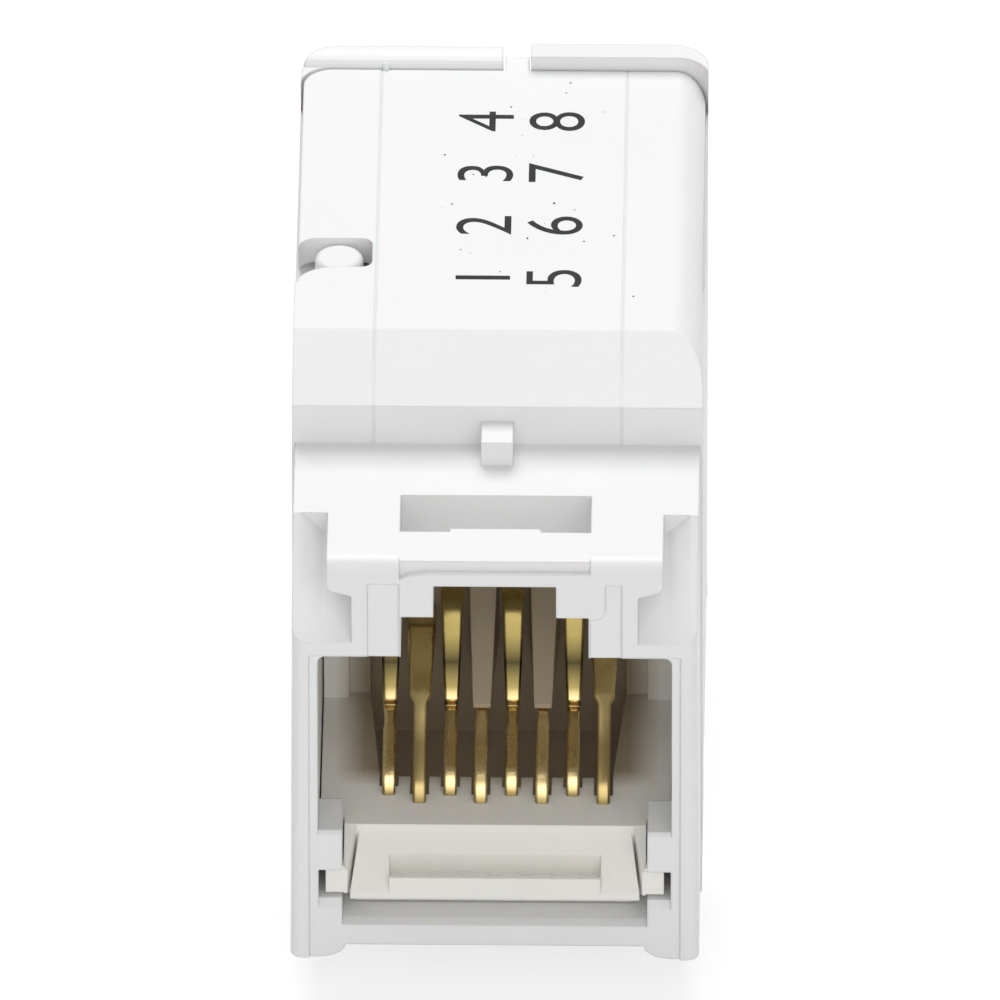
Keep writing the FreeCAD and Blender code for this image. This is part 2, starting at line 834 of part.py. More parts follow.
def blade(side, height):
    """Slotted blade that a wire is pressed into, with its leg to the circuit board."""
    root = block_spine_width / 2 - leg_inset
    middle = level(height)
    half = blade_height / 2
    plate = box(root - blade_thickness / 2, blade_tip, blade_depth - blade_thickness / 2,
                blade_depth + blade_thickness / 2, middle - half, middle + half)
    tips = edges_where(plate, lambda p, d: abs(d.y) > 0.9 and p.x > blade_tip - 0.01)
    plate = plate.makeFillet(blade_round, tips)
    slot_root = blade_tip - blade_slot_length
    throat = blade_tip - blade_mouth
    slot = along([(slot_root, middle - blade_slot / 2), (throat, middle - blade_slot / 2),
                  (blade_tip + 0.01, middle - blade_mouth), (blade_tip + 0.01, middle + blade_mouth),
                  (throat, middle + blade_slot / 2), (slot_root, middle + blade_slot / 2)],
                 blade_depth - blade_thickness, blade_depth + blade_thickness)
    leg = box(root - blade_thickness / 2, root + blade_thickness / 2, board_back - board_thickness,
              blade_depth, middle - leg_height / 2, middle + leg_height / 2)
    solid = fused([plate.cut(slot), leg])
    return solid if side > 0 else mirrored(solid)


def blade_pocket(side, height):
    """Room in the block for one blade and its leg, with a small clearance all round."""
    clear = contact_clearance
    root = block_spine_width / 2 - leg_inset - blade_thickness / 2 - clear
    middle = level(height)
    room = box(root, blade_tip + overrun, blade_depth - blade_thickness / 2 - clear,
               blade_depth + blade_thickness / 2 + clear, middle - blade_height / 2 - clear,
               middle + blade_height / 2 + clear)
    leg = box(root, root + blade_thickness + 2 * clear, board_back - overrun, blade_depth,
              middle - leg_height / 2 - clear, middle + leg_height / 2 + clear)
    solid = fused([room, leg])
    return solid if side > 0 else mirrored(solid)


def idc_block():
    half = block_spine_width / 2
    low = base_top + fit_gap
    high = plate_under - fit_gap
    nose_centre = block_end - half
    spine = box(-half, half, board_back + block_seat, nose_centre, low, high)
    rounded = post(0, nose_centre, half, low, high)
    pins_room = box(-half - overrun, half + overrun, board_back, board_back + block_seat + block_pin_room,
                    level(low_level) - block_pin_room, level(high_level) + block_pin_room)
    dividers = []
    edges = [blade_levels[0] + blade_pitch * (i + 0.5) for i in range(3)]
    for height in edges:
        z = level(height)
        fin = box(half - 0.1, half + divider_width, blade_depth - divider_length / 2,
                  blade_depth + divider_length / 2, z - divider_thickness / 2,
                  z + divider_thickness / 2)
        ends = edges_where(fin, lambda p, d: abs(d.z) > 0.9 and p.x > half + divider_width - 0.01)
        fin = fin.makeFillet(divider_round, ends)
        dividers += both_sides(fin)
    block = fused([spine, rounded] + dividers).cut(pins_room)
    for side in (-1, 1):
        for height in blade_levels:
            block = block.cut(blade_pocket(side, height))
    return block


# Wings and their wire guides

def wing_shell():
    """Right wing: pivot barrel, side wall and rear wall, without its rim and pins."""
    outer = body_width / 2
    skin = rounded_plan(outer, pivot_depth, overall_depth, wing_corner_round, wing_bottom, wing_top)
    hollow_radius = max(wing_corner_round - wing_wall, 0.2)
    hollow = rounded_plan(outer - wing_wall, pivot_depth - overrun, wing_inner, hollow_radius,
                          wing_bottom - overrun, wing_top + overrun)
    skin = skin.cut(hollow)
    skin = skin.cut(box(-outer - overrun, split_gap / 2, 0, overall_depth + overrun, 0, top))
    barrel = post(pivot_x, pivot_depth, barrel_radius, wing_bottom, wing_top)
    return fused([skin, barrel])


def plate_room():
    """Space that a wing leaves for the rounded ends of both plates."""
    clear = wing_inner - plate_end
    return rounded_plan(body_width / 2 + 0.01, wing_inner - 4, wing_inner,
                        plate_corner_round + clear, 0, top + overrun)


def wing_rim(start, sloped):
    """Edge of the rear wall that wraps the end of a plate, from the x called start outwards."""
    outer = body_width / 2
    ring = rounded_plan(outer, wing_inner - 3, overall_depth, wing_corner_round, wing_top - 0.2,
                        top + rim_height).cut(plate_room())
    ring = ring.cut(box(-outer - overrun, start, 0, overall_depth + overrun, 0, top + overrun))
    if sloped:
        foot = top + rim_slope_foot
        rise = rim_slope_height - rim_slope_foot
        curve = [(wing_inner + wing_wall * (1 - math.cos(a)), foot + rise * math.sin(a))
                 for a in [math.radians(angle) for angle in (0, 18, 36, 54, 72, 90)]]
        above = curve + [(overall_depth + overrun, foot + rise), (overall_depth + overrun, top + overrun),
                         (wing_inner - 4, top + overrun), (wing_inner - 4, foot)]
        ring = ring.cut(across(above, -outer - overrun, outer + overrun))
    return ring


def wing_foot():
    """Rear wall carried down past the end of the lower plate."""
    outer = body_width / 2
    ring = rounded_plan(outer, wing_inner - 3, overall_depth, wing_corner_round, foot_clearance,
                        wing_bottom + 0.2).cut(plate_room())
    return ring.cut(box(-outer - overrun, split_gap / 2, 0, overall_depth + overrun, 0, top))


def pivot_pins(headed):
    """Lower pin and upper pin; a headed one fills the slot in the top plate."""
    lower = post(pivot_x, pivot_depth, pin_radius, base_top - pin_length, wing_bottom + 0.1)
    if not headed:
        return [lower, post(pivot_x, pivot_depth, pin_radius, wing_top - 0.1, plate_under + pin_length)]
    head_top = top - head_sink
    head = post(pivot_x, pivot_depth, head_radius, wing_top - 0.1, head_top)
    rims = [edge for edge in head.Edges if edge.BoundBox.ZMin > head_top - 0.01]
    return [lower, head.makeFillet(head_round, rims)]


def cable_collar():
    """Half collar round the cable, with ribs that grip its jacket."""
    middle = level(cable_level)
    front = wing_inner - collar_depth
    outer = Part.makeCylinder(cable_radius + collar_wall, collar_depth + 0.1, Vector(0, front, middle),
                              Vector(0, 1, 0))
    right = box(split_gap / 2, body_width, 0, overall_depth, 0, top)
    return outer.common(right)


def cable_hole():
    middle = level(cable_level)
    bore = Part.makeCylinder(cable_radius, collar_depth + wing_wall + 2 * overrun,
                             Vector(0, wing_inner - collar_depth - overrun, middle), Vector(0, 1, 0))
    for i in range(3):
        y = wing_inner - collar_depth + 0.25 + i * (collar_depth + wing_wall - 0.5) / 2
        ring = Part.makeCylinder(cable_radius + 0.1, 0.3, Vector(0, y - 0.15, middle), Vector(0, 1, 0))
        core = Part.makeCylinder(cable_radius - grip_rib, 0.3, Vector(0, y - 0.15, middle),
                                 Vector(0, 1, 0))
        bore = bore.cut(ring.cut(core))
    return bore


def wing(rim_start, sloped, headed):
    pieces = [wing_shell(), wing_rim(rim_start, sloped), wing_foot(), cable_collar()]
    return fused(pieces + pivot_pins(headed)).cut(cable_hole())


def wire_guide():
    """Right-hand comb of four wire grooves, parted by a slot that the blades enter."""
    low = wing_bottom + guide_end_gap
    high = wing_top - guide_end_gap
    guide = box(guide_inner, guide_outer, guide_front, guide_end, low, high)
    for height in blade_levels:
        groove = Part.makeCylinder(groove_radius, guide_end - guide_front + 2 * overrun,
                                   Vector(guide_inner, guide_front - overrun, level(height)),
                                   Vector(0, 1, 0))
        guide = guide.cut(groove)
    slot = box(guide_inner - overrun, blade_tip + guide_slot_clearance, blade_depth - guide_slot / 2,
               blade_depth + guide_slot / 2, low - overrun, high + overrun)
    return guide.cut(slot)


# Build

save(main_housing(), "main_housing")
save(contact_carrier(), "contact_carrier")
for number in range(1, contact_count + 1):
    save(contact(number), "contact_%d" % number)
save(circuit_board(), "circuit_board")
save(idc_block(), "idc_block")
blade_number = 1
for side in (-1, 1):
    for height in blade_levels:
        save(blade(side, height), "idc_blade_%d" % blade_number)
        blade_number += 1
tongue_end = tongue_offset + tongue_width / 2
save(wing(tongue_end + tongue_gap, False, False), "right_wing")
left_start = max(tongue_width / 2 - tongue_offset, split_gap / 2 - tongue_gap) + tongue_gap
save(mirrored(wing(left_start, True, True)), "left_wing")
save(wire_guide(), "right_wire_guide")
save(mirrored(wire_guide()), "left_wire_guide")
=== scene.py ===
import bpy
import bmesh
import math
import random
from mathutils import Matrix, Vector


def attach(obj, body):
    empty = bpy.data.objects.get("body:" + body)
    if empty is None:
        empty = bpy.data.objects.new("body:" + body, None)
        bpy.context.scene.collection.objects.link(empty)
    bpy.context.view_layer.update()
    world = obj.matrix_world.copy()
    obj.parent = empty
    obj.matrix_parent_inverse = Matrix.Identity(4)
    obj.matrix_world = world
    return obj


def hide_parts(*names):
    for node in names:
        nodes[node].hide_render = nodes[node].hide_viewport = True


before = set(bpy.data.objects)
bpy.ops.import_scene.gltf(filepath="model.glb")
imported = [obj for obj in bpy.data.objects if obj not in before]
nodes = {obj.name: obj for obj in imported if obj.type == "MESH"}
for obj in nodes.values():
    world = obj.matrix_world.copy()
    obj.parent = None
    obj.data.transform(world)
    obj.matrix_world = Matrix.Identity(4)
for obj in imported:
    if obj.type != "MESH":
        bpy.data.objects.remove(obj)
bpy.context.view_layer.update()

mm = 0.001


def nodeBox(nodeName):  # lowest and highest corner of a node, in millimetres
    node = nodes[nodeName]
    points = [node.matrix_world @ vertex.co / mm for vertex in node.data.vertices]
    return (Vector([min(p[i] for p in points) for i in range(3)]),
            Vector([max(p[i] for p in points) for i in range(3)]))


housingLow, housingHigh = nodeBox("main_housing")
print("frame loaded:", len(nodes), "nodes")


# Camera

view = {"azimuth": 0.76, "elevation": 33.2, "distance": 1.6, "frameWidth": 33.27,
        "aim": (0.0, 0.125, 10.6), "across": 0.0, "up": 0.0213, "near": 0.05, "far": 20.0}


def makeCamera():
    turn = math.radians(view["azimuth"])
    tilt = math.radians(view["elevation"])
    back = Vector((math.sin(turn) * math.cos(tilt), -math.cos(turn) * math.cos(tilt), math.sin(tilt)))
    data = bpy.data.cameras.new("camera")
    camera = bpy.data.objects.new("camera", data)
    bpy.context.scene.collection.objects.link(camera)
    camera.location = Vector(view["aim"]) * mm + back * view["distance"]
    camera.rotation_euler = (-back).to_track_quat("-Z", "Y").to_euler()
    data.lens = data.sensor_width * view["distance"] / (view["frameWidth"] * mm)
    data.shift_x = view["across"]
    data.shift_y = view["up"]
    data.clip_start = view["near"]
    data.clip_end = view["far"]
    bpy.context.scene.camera = camera


# Material helpers

surface = {"cloudDetail": 3.0, "grainDetail": 2.0, "noiseRange": (0.3, 0.7), "edgeSamples": 6,
           "plainIor": 1.5, "glowReach": 0.0004}


def newMaterial(name, finish):
    material = bpy.data.materials.new(name)
    material.use_nodes = True
    tree = material.node_tree
    shader = tree.nodes["Principled BSDF"]
    shader.inputs["IOR"].default_value = finish.get("ior", surface["plainIor"])
    shader.inputs["Metallic"].default_value = finish.get("metallic", 0.0)
    shader.inputs["Subsurface Weight"].default_value = finish.get("depthGlow", 0.0)
    shader.inputs["Subsurface Scale"].default_value = surface["glowReach"]
    return material, tree, shader


def field(tree, scale, detail):
    where = tree.nodes.new("ShaderNodeTexCoord")
    noise = tree.nodes.new("ShaderNodeTexNoise")
    noise.inputs["Scale"].default_value = scale
    noise.inputs["Detail"].default_value = detail
    tree.links.new(where.outputs["Object"], noise.inputs["Vector"])
    return noise.outputs["Fac"]


def between(tree, amount, low, high):
    blend = tree.nodes.new("ShaderNodeMix")
    blend.data_type = "RGBA"
    tree.links.new(amount, blend.inputs[0])
    blend.inputs[6].default_value = (*low, 1.0)
    blend.inputs[7].default_value = (*high, 1.0)
    return blend.outputs[2]


def spread(tree, amount, low, high):
    scaler = tree.nodes.new("ShaderNodeMapRange")
    scaler.inputs["From Min"].default_value = surface["noiseRange"][0]
    scaler.inputs["From Max"].default_value = surface["noiseRange"][1]
    scaler.inputs["To Min"].default_value = low
    scaler.inputs["To Max"].default_value = high
    tree.links.new(amount, scaler.inputs["Value"])
    return scaler.outputs["Result"]


def moulded(name, finish):
    material, tree, shader = newMaterial(name, finish)
    cloud = field(tree, finish["cloud"], surface["cloudDetail"])
    tree.links.new(between(tree, cloud, finish["dark"], finish["light"]), shader.inputs["Base Color"])
    tree.links.new(spread(tree, cloud, *finish["roughness"]), shader.inputs["Roughness"])
    bump = tree.nodes.new("ShaderNodeBump")
    bump.inputs["Strength"].default_value = finish["grainStrength"]
    bump.inputs["Distance"].default_value = finish["grainDepth"]
    rounder = tree.nodes.new("ShaderNodeBevel")
    rounder.samples = surface["edgeSamples"]
    rounder.inputs["Radius"].default_value = finish["edgeRound"] * mm
    tree.links.new(rounder.outputs["Normal"], bump.inputs["Normal"])
    grain = field(tree, finish["grain"], surface["grainDetail"])
    tree.links.new(grain, bump.inputs["Height"])
    tree.links.new(bump.outputs["Normal"], shader.inputs["Normal"])
    return material


# Plastics, metals and board

finishes = {
    "jackWhite": {"light": (0.86, 0.862, 0.86), "dark": (0.84, 0.842, 0.84), "cloud": 260.0,
                  "edgeRound": 0.09, "roughness": (0.34, 0.44), "grain": 14000.0, "grainDepth": 0.000004,
                  "grainStrength": 0.5, "depthGlow": 0.12},
    "wingWhite": {"light": (0.85, 0.852, 0.85), "dark": (0.83, 0.832, 0.83), "cloud": 230.0,
                  "edgeRound": 0.09, "roughness": (0.34, 0.44), "grain": 13000.0, "grainDepth": 0.000004,
                  "grainStrength": 0.5, "depthGlow": 0.12},
    "carrierIvory": {"light": (0.91, 0.89, 0.84), "dark": (0.89, 0.87, 0.82), "cloud": 300.0,
                     "edgeRound": 0.06, "roughness": (0.36, 0.46), "grain": 14000.0, "grainDepth": 0.000003,
                     "grainStrength": 0.5, "depthGlow": 0.1},
    "blockGrey": {"light": (0.30, 0.31, 0.32), "dark": (0.27, 0.28, 0.29), "cloud": 300.0,
                  "edgeRound": 0.06, "roughness": (0.38, 0.5), "grain": 14000.0, "grainDepth": 0.000004,
                  "grainStrength": 0.5},
    "guideIvory": {"light": (0.70, 0.69, 0.65), "dark": (0.67, 0.66, 0.62), "cloud": 300.0,
                   "edgeRound": 0.06, "roughness": (0.36, 0.46), "grain": 14000.0, "grainDepth": 0.000004,
                   "grainStrength": 0.5},
    "boardGreen": {"light": (0.03, 0.16, 0.06), "dark": (0.02, 0.11, 0.045), "cloud": 900.0,
                   "edgeRound": 0.03, "roughness": (0.28, 0.4), "grain": 9000.0, "grainDepth": 0.000004,
                   "grainStrength": 0.4},
    # The contact gold is one metal in two copies: the first is darkened as painted shade, the broad one for
    # contacts 2 and 8 is kept bright as painted light
    "contactGoldPaintedShade": {"light": (0.36, 0.28, 0.1), "dark": (0.24, 0.185, 0.065), "cloud": 900.0,
                    "edgeRound": 0.01, "roughness": (0.2, 0.34), "grain": 6000.0, "grainDepth": 0.000002,
                    "grainStrength": 0.12, "metallic": 1.0},
    "contactBroadPaintedLight": {"light": (0.86, 0.68, 0.32), "dark": (0.62, 0.48, 0.20), "cloud": 900.0,
                     "edgeRound": 0.01, "roughness": (0.24, 0.38), "grain": 6000.0, "grainDepth": 0.000002,
                     "grainStrength": 0.12, "metallic": 1.0},
    "inkBlack": {"light": (0.03, 0.03, 0.032), "dark": (0.012, 0.012, 0.013), "cloud": 2500.0,
                 "edgeRound": 0.01, "roughness": (0.5, 0.7), "grain": 9000.0, "grainDepth": 0.000002,
                 "grainStrength": 0.3, "ior": 1.25},
    "bladeTin": {"light": (0.66, 0.65, 0.62), "dark": (0.58, 0.57, 0.55), "cloud": 600.0,
                 "edgeRound": 0.04, "roughness": (0.22, 0.34), "grain": 6000.0, "grainDepth": 0.000002,
                 "grainStrength": 0.4, "metallic": 1.0},
}
materials = {name: moulded(name, finish) for name, finish in finishes.items()}

# The carrier is painted browner in its contact bay, as painted shade in that recess
bayPaintedShade = {"colour": (0.33, 0.255, 0.15), "halfWidth": 4.9, "front": 4.6, "frontFade": 0.5, "sideFade": 0.5,
       "strength": 0.9}

# Painted light and shade in the metal: the contact length is painted brightest, the broad contacts are
# painted darker there, and the tips and the raised runs get painted shade
lowerPaintedLight = {"colour": (0.94, 0.74, 0.38), "level": 7.8, "fade": 0.25, "strength": 0.9}
broadLowerPaintedShade = {"colour": (0.46, 0.35, 0.15), "level": 7.8, "fade": 0.25, "strength": 0.9}
runPaintedShade = {"colour": (0.04, 0.032, 0.015), "level": 8.8, "reach": 0.9, "strength": 0.97}
# painted shade on the contact tips
tipPaintedShade = {"colour": (0.27, 0.205, 0.08), "level": 6.55, "fade": 0.15, "strength": 0.9}


def ramp(tree, value, low, high):
    scaler = tree.nodes.new("ShaderNodeMapRange")
    scaler.inputs["From Min"].default_value = low
    scaler.inputs["From Max"].default_value = high
    tree.links.new(value, scaler.inputs["Value"])
    return scaler.outputs["Result"]


def multiplied(tree, first, second):
    node = tree.nodes.new("ShaderNodeMath")
    node.operation = "MULTIPLY"
    tree.links.new(first, node.inputs[0])
    if isinstance(second, float):
        node.inputs[1].default_value = second
    else:
        tree.links.new(second, node.inputs[1])
    return node.outputs["Value"]


def placeAxes(tree):
    where = tree.nodes.new("ShaderNodeTexCoord")
    split = tree.nodes.new("ShaderNodeSeparateXYZ")
    tree.links.new(where.outputs["Object"], split.inputs["Vector"])
    return split.outputs


def awayFrom(tree, value, centre):  # distance of a coordinate from one place
    shift = tree.nodes.new("ShaderNodeMath")
    shift.operation = "SUBTRACT"
    tree.links.new(value, shift.inputs[0])
    shift.inputs[1].default_value = centre
    size = tree.nodes.new("ShaderNodeMath")
    size.operation = "ABSOLUTE"
    tree.links.new(shift.outputs["Value"], size.inputs[0])
    return size.outputs["Value"]


def tinted(material, mask, colour):
    tree = material.node_tree
    shader = tree.nodes["Principled BSDF"]
    blend = tree.nodes.new("ShaderNodeMix")
    blend.data_type = "RGBA"
    tree.links.new(mask, blend.inputs[0])
    tree.links.new(shader.inputs["Base Color"].links[0].from_socket, blend.inputs[6])
    blend.inputs[7].default_value = (*colour, 1.0)
    tree.links.new(blend.outputs[2], shader.inputs["Base Color"])


# painted shade: the carrier turns brown inside the contact bay
def shadeBay(material):
    tree = material.node_tree
    axes = placeAxes(tree)
    front = (housingLow.y + bayPaintedShade["front"]) * mm
    side = bayPaintedShade["halfWidth"] * mm
    deep = ramp(tree, axes["Y"], front - bayPaintedShade["frontFade"] * mm, front + bayPaintedShade["frontFade"] * mm)
    width = awayFrom(tree, axes["X"], 0.0)
    inside = ramp(tree, width, side + bayPaintedShade["sideFade"] * mm, side - bayPaintedShade["sideFade"] * mm)
    tinted(material, multiplied(tree, multiplied(tree, deep, inside), bayPaintedShade["strength"]), bayPaintedShade["colour"])


def toneBelow(material, tone):
    tree = material.node_tree
    high = (tone["level"] + tone["fade"]) * mm
    low = (tone["level"] - tone["fade"]) * mm
    below = ramp(tree, placeAxes(tree)["Z"], high, low)
    tinted(material, multiplied(tree, below, tone["strength"]), tone["colour"])


# painted shade: a dark band across the raised spring runs at mid length
def paintRunShade(material):  # the raised spring runs are darker at mid length
    tree = material.node_tree
    height = awayFrom(tree, placeAxes(tree)["Z"], runPaintedShade["level"] * mm)
    band = ramp(tree, height, runPaintedShade["reach"] * mm, 0.0)
    tinted(material, multiplied(tree, band, runPaintedShade["strength"]), runPaintedShade["colour"])


shadeBay(materials["carrierIvory"])
# painted light and shade on the contact metal, set by height
toneBelow(materials["contactGoldPaintedShade"], lowerPaintedLight)
toneBelow(materials["contactBroadPaintedLight"], broadLowerPaintedShade)
toneBelow(materials["contactGoldPaintedShade"], tipPaintedShade)
toneBelow(materials["contactBroadPaintedLight"], tipPaintedShade)
paintRunShade(materials["contactGoldPaintedShade"])
print("materials made:", len(materials))


def finishNode(nodeName, finish):
    mesh = nodes[nodeName].data
    mesh.materials.clear()
    mesh.materials.append(materials[finish])


for number in range(1, 9):
    finishNode("contact_%d" % number, "contactGoldPaintedShade")
    finishNode("idc_blade_%d" % number, "bladeTin")
for nodeName, finish in (("main_housing", "jackWhite"), ("left_wing", "wingWhite"),
                         ("right_wing", "wingWhite"), ("contact_carrier", "carrierIvory"),
                         ("circuit_board", "boardGreen"), ("idc_block", "blockGrey"),
                         ("left_wire_guide", "guideIvory"), ("right_wire_guide", "guideIvory")):
    finishNode(nodeName, finish)
print("metal, board and guides finished")


# Mesh helpers

def meshPiece(name, points, faces, finish, smooth=True):
    mesh = bpy.data.meshes.new(name)
    mesh.from_pydata([Vector(p) * mm for p in points], [], faces)
    for polygon in mesh.polygons:
        polygon.use_smooth = smooth
    mesh.materials.append(materials[finish])
    piece = bpy.data.objects.new(name, mesh)
    bpy.context.scene.collection.objects.link(piece)
    return piece


def roundedCorner(before, corner, after, radius, steps):  # the radius only places the arc's centre
    back = (before - corner).normalized()
    ahead = (after - corner).normalized()
    half = back.angle(ahead) / 2
    centre = corner + (back + ahead).normalized() * (radius / math.sin(half))
    start = corner + back * (radius / math.tan(half)) - centre
    end = corner + ahead * (radius / math.tan(half)) - centre
    # known fault: slerp gives vectors of length 1, so every arc is 1 mm and stands outside its corner
    return [centre + start.slerp(end, step / steps) for step in range(steps + 1)]


# Spring contacts: smooth bent strips with rounded edges
# known fault: their bends are all 1 mm arcs, so the strips leave their nodes and cut into the carrier

contact = {"thickness": 0.28, "barWidth": 0.44, "legWidth": 0.5, "kneeWidth": 0.38, "openKneeWidth": 0.7,
           "hiddenKnee": (7.3, 7.1), "openKnee": (6.2, -0.25), "behindRibs": (4, 6), "open": (2, 8),
           "kneeDepth": 6.7, "bendDepth": 8.9, "recessDepth": 10.56, "tipLevel": 6.1, "kneeLevel": 7.9,
           "middleKneeDrop": 0.15, "upperRise": 3.0, "highRise": 4.0, "tipRound": 0.15, "kneeRound": 0.3,
           "bendRound": 0.5, "edgeRound": 0.1, "edgeSteps": 4, "arcSteps": 10, "bow": 0.07, "bowSteps": 12,
           "bowLength": 1.2, "bowRise": 0.3}


def contactLine(low, high, hidden):  # middle line from tip to leg; a hidden one runs up into a rib
    front = housingLow.y
    half = contact["thickness"] / 2
    tip = low.y + half
    rear = high.z - half
    upper = high.z > low.z + contact["upperRise"]
    middle = upper and high.z < low.z + contact["highRise"]
    knee = Vector((front + contact["kneeDepth"], contact["kneeLevel"]))
    if middle:
        knee.y -= contact["middleKneeDrop"]
    if not upper:
        knee = Vector((front + contact["openKnee"][0], rear + contact["openKnee"][1]))
    if hidden:
        knee = Vector((front + contact["hiddenKnee"][0], contact["hiddenKnee"][1]))
    corners = [Vector((tip, low.z)), Vector((tip, contact["tipLevel"])), knee,
               Vector((front + contact["bendDepth"], rear)), Vector((high.y, rear))]
    radii = [contact["tipRound"], contact["kneeRound"], contact["bendRound"]]
    line = [corners[0]]
    for i, radius in enumerate(radii):
        line += roundedCorner(corners[i], corners[i + 1], corners[i + 2], radius, contact["arcSteps"])
    return line + [corners[-1]]


def bowed(line):  # the longer straight runs get a shallow bow, as sprung metal has
    result = [line[0]]
    for start, end in zip(line, line[1:]):
        run = end - start
        if run.length > contact["bowLength"] and abs(run.y) > contact["bowRise"]:
            side = Vector((run.y, -run.x)).normalized() * contact["bow"]
            for step in range(1, contact["bowSteps"]):
                part = step / contact["bowSteps"]
                result.append(start + run * part + side * math.sin(math.pi * part) ** 2)
        result.append(end)
    return result


def contactWidth(depth, wide, kneeWidth):
    knee = housingLow.y + contact["kneeDepth"]
    bend = housingLow.y + contact["bendDepth"]
    if depth > housingLow.y + contact["recessDepth"]:
        return contact["legWidth"]
    if depth < housingLow.y + contact["openKnee"][0]:
        return contact["barWidth"]
    part = min(max((depth - knee) / (bend - knee), 0.0), 1.0)
    return kneeWidth + (wide - kneeWidth) * part


def stripRing(centre, across, up, width, thickness):
    radius = contact["edgeRound"]
    ring = []
    for quarter, (sx, sy) in enumerate(((1, 1), (-1, 1), (-1, -1), (1, -1))):
        for step in range(contact["edgeSteps"] + 1):
            angle = math.pi / 2 * (quarter + step / contact["edgeSteps"])
            x = sx * (width / 2 - radius) + radius * math.cos(angle)
            y = sy * (thickness / 2 - radius) + radius * math.sin(angle)
            ring.append(centre + across * x + up * y)
    return ring


def makeContact(number):
    nodeName = "contact_%d" % number
    low, high = nodeBox(nodeName)
    middle = (low.x + high.x) / 2
    hidden = number in contact["behindRibs"]
    kneeWidth = contact["openKneeWidth" if number in contact["open"] else "kneeWidth"]
    line = bowed(contactLine(low, high, hidden))
    rings = []
    for i, point in enumerate(line):
        run = (line[min(i + 1, len(line) - 1)] - line[max(i - 1, 0)]).normalized()
        up = Vector((0.0, -run.y, run.x))
        centre = Vector((middle, point.x, point.y))
        width = contactWidth(point.x, high.x - low.x, kneeWidth)
        rings.append(stripRing(centre, Vector((1.0, 0.0, 0.0)), up, width, contact["thickness"]))
    size = len(rings[0])
    points = [point for ring in rings for point in ring]
    faces = []
    for r in range(len(rings) - 1):
        for i in range(size):
            j = (i + 1) % size
            faces.append((r * size + i, r * size + j, (r + 1) * size + j, (r + 1) * size + i))
    faces.append(tuple(reversed(range(size))))
    faces.append(tuple(range((len(rings) - 1) * size, len(rings) * size)))
    # contacts 2 and 8 take the bright copy of the gold as painted light, the others the darkened copy as
    # painted shade
    metal = "contactBroadPaintedLight" if number in contact["open"] else "contactGoldPaintedShade"
    piece = meshPiece("contactStrip%d" % number, points, faces, metal)
    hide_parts(nodeName)
    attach(piece, "housing")


for number in range(1, 9):
    makeContact(number)
print("contacts bent")


# Contact numbers printed on the top plate

printing = {"rows": ("1234", "5678"), "rowPlaces": (0.35, 2.7), "firstDepth": 12.45, "step": 3.2,
            "height": 1.96, "thin": -0.012, "layer": 0.006, "font": 0.73, "smoothness": 6}


def printDigit(digit, x, y):
    data = bpy.data.curves.new("digit" + digit, "FONT")
    data.body = digit
    data.size = printing["height"] / printing["font"] * mm
    data.offset = printing["thin"] * mm
    data.extrude = printing["layer"] / 2 * mm
    data.resolution_u = printing["smoothness"]
    shape = bpy.data.objects.new("digit" + digit, data)
    bpy.context.scene.collection.objects.link(shape)
    bpy.context.view_layer.update()
    mesh = bpy.data.meshes.new_from_object(shape)
    bpy.data.objects.remove(shape)
    mesh.materials.clear()
    mesh.materials.append(materials["inkBlack"])
    piece = bpy.data.objects.new("number" + digit, mesh)
    bpy.context.scene.collection.objects.link(piece)
    piece.rotation_euler = (0.0, 0.0, math.pi / 2)
    piece.location = Vector((x, y, housingHigh.z)) * mm
    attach(piece, "housing")


for row, x in zip(printing["rows"], printing["rowPlaces"]):
    for i, digit in enumerate(row):
        printDigit(digit, x, housingLow.y + printing["firstDepth"] + i * printing["step"])
print("numbers printed at height", round(housingHigh.z, 3))

specks = {"count": 26, "seed": 7, "across": (-2.2, 4.6), "along": (11.4, 25.2), "radius": (0.015, 0.045),
          "stretch": (0.6, 1.6), "height": 0.004, "sides": 7}


def printSpecks():  # stray ink around the numbers
    chance = random.Random(specks["seed"])
    points = []
    faces = []
    for index in range(specks["count"]):
        x = chance.uniform(*specks["across"])
        y = housingLow.y + chance.uniform(*specks["along"])
        radius = chance.uniform(*specks["radius"])
        long = radius * chance.uniform(*specks["stretch"])
        for side in range(specks["sides"]):
            angle = 2 * math.pi * side / specks["sides"]
            points.append((x + radius * math.cos(angle), y + long * math.sin(angle),
                           housingHigh.z + specks["height"]))
        faces.append(tuple(range(index * specks["sides"], (index + 1) * specks["sides"])))
    piece = meshPiece("inkSpecks", points, faces, "inkBlack", smooth=False)
    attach(piece, "housing")


printSpecks()


# Gate mark left by the moulding: place across, depth, level, width and height

gates = {"spots": ((-3.96, 25.95, 20.5, 0.16, 0.24),), "rings": 4, "sides": 10}


def gateMark(number, x, depth, level, width, height):
    points = []
    for ring in range(gates["rings"]):
        rise = math.pi / 2 * ring / gates["rings"]
        for side in range(gates["sides"]):
            angle = 2 * math.pi * side / gates["sides"]
            points.append((x + width * math.cos(rise) * math.cos(angle),
                           housingLow.y + depth + width * math.cos(rise) * math.sin(angle),
                           level + height * math.sin(rise)))
    points.append((x, housingLow.y + depth, level + height))
    faces = [tuple(reversed(range(gates["sides"])))]
    for ring in range(gates["rings"] - 1):
        start = ring * gates["sides"]
        for side in range(gates["sides"]):
            after = (side + 1) % gates["sides"]
            above = start + gates["sides"]
            faces.append((start + side, start + after, above + after, above + side))
    start = (gates["rings"] - 1) * gates["sides"]
    for side in range(gates["sides"]):
        faces.append((start + side, start + (side + 1) % gates["sides"], len(points) - 1))
    piece = meshPiece("gateMark%d" % number, points, faces, "jackWhite")
    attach(piece, "housing")


